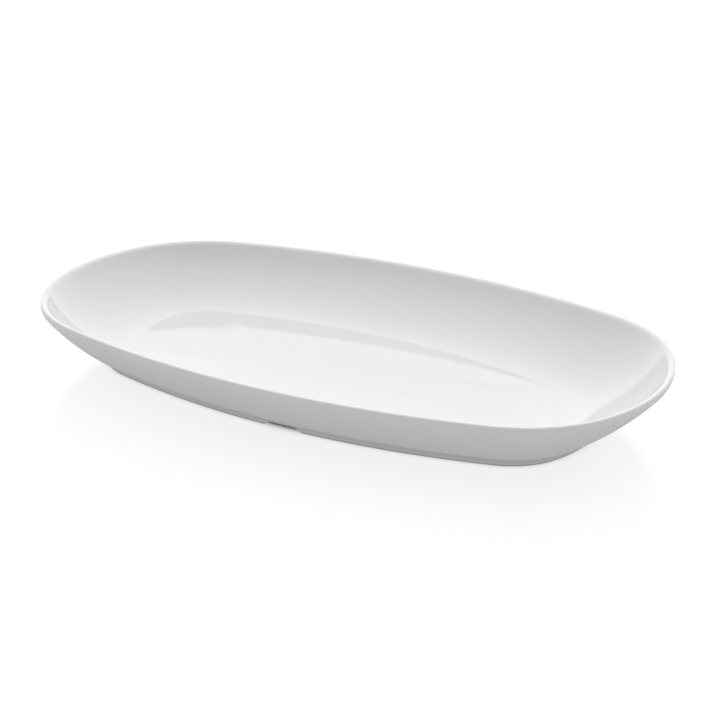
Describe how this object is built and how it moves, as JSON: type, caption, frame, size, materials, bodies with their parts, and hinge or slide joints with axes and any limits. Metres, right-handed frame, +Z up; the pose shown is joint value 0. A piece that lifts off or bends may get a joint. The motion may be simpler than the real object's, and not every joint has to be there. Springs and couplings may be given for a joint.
{
  "type": "asparagus plate",
  "caption": "Long oval porcelain dish with a nearly flat well, a coupe wall, a rounded lip and a low foot ring with drain notches.",
  "frame": {"origin": "on the table under the middle of the dish, in the plane of the foot's bare edge", "axes": "+X along the dish's length, +Y across its width, +Z up out of the well"},
  "size_m": [0.35, 0.207, 0.0362],
  "materials": {
    "glaze": "clear gloss glaze over white porcelain",
    "foot_glaze": "clear gloss glaze, thicker in the fillets of the foot",
    "bare_clay": "ground matt porcelain without glaze"
  },
  "bodies": {
    "root": {"dish": "glaze", "foot_ring": "foot_glaze", "foot_edge": "bare_clay"}
  },
  "joints": []
}
